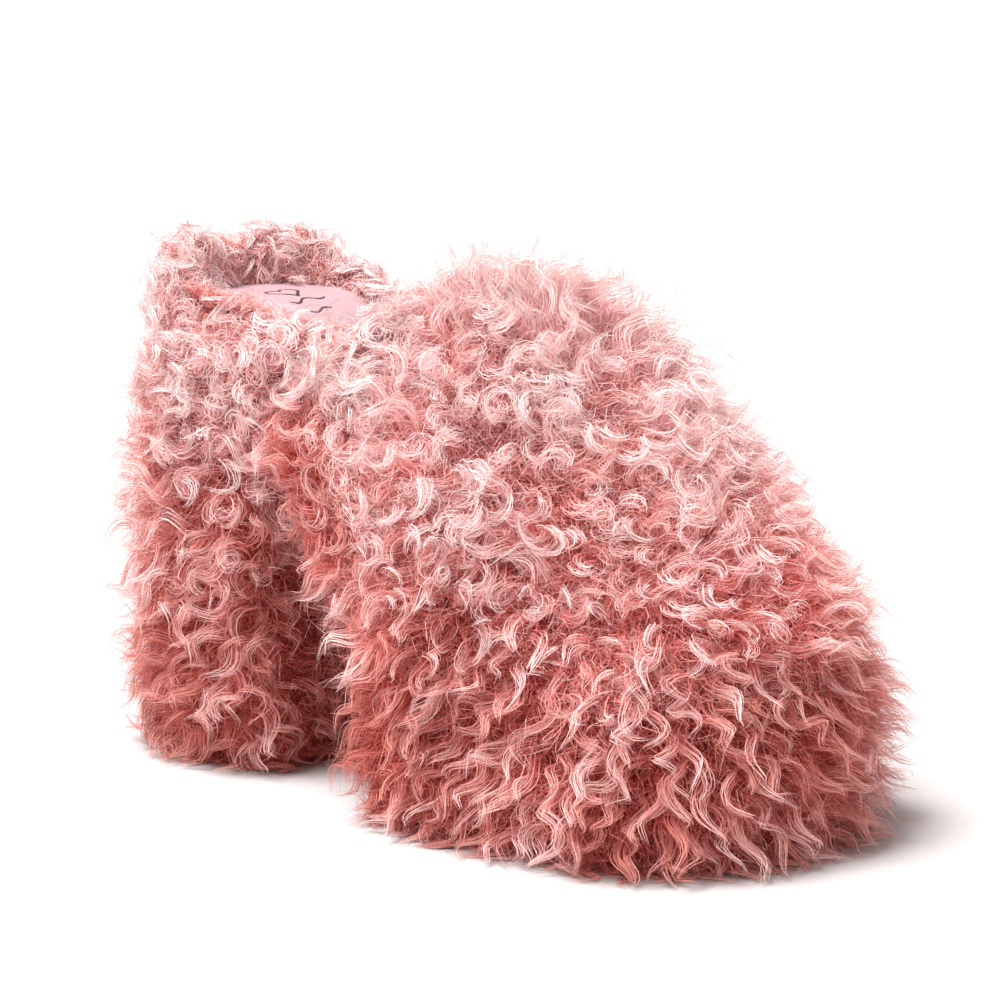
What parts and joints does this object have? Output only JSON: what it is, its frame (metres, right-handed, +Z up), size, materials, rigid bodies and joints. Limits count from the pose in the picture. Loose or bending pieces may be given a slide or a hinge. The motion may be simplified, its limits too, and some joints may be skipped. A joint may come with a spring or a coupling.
{
  "type": "fur mule",
  "caption": "Backless platform mule with a high block heel, covered all over in long curly pink faux fur, with a smooth pink sock lining.",
  "frame": {"origin": "middle of the part in plan, on the ground the shoe stands on", "axes": "+X from heel to toe, +Y to the wearer's left, +Z up"},
  "size_m": [0.2716, 0.1404, 0.1678],
  "materials": {
    "fur": "long curly faux fur pile, matt with a soft sheen",
    "lining": "brushed knit",
    "padding": "matt foam and interlining",
    "sock": "smooth satin synthetic leather",
    "board": "matt fibre board",
    "insole_foam": "matt foam",
    "platform_foam": "matt light foam",
    "heel_plastic": "moulded, matt",
    "rubber": "matt",
    "steel": "plain"
  },
  "bodies": {
    "root": {"outsole_front": "rubber", "platform_block": "platform_foam", "platform_wrap_fur": "fur", "heel_top_piece": "rubber", "heel_block": "heel_plastic", "heel_wrap_fur": "fur", "heel_screw": "steel", "insole_board": "board", "shank": "steel", "insole_foam": "insole_foam", "sock_lining": "sock", "arch_fur": "fur", "collar_fur": "fur", "vamp_lining": "lining", "vamp_padding": "padding", "toe_puff": "board", "vamp_fur": "fur", "topline_binding": "lining", "shank_rivet_1": "steel", "shank_rivet_2": "steel", "heel_pin_1": "steel", "heel_pin_2": "steel", "heel_nail_1": "steel", "heel_nail_2": "steel", "heel_nail_3": "steel", "heel_nail_4": "steel"}
  },
  "joints": []
}
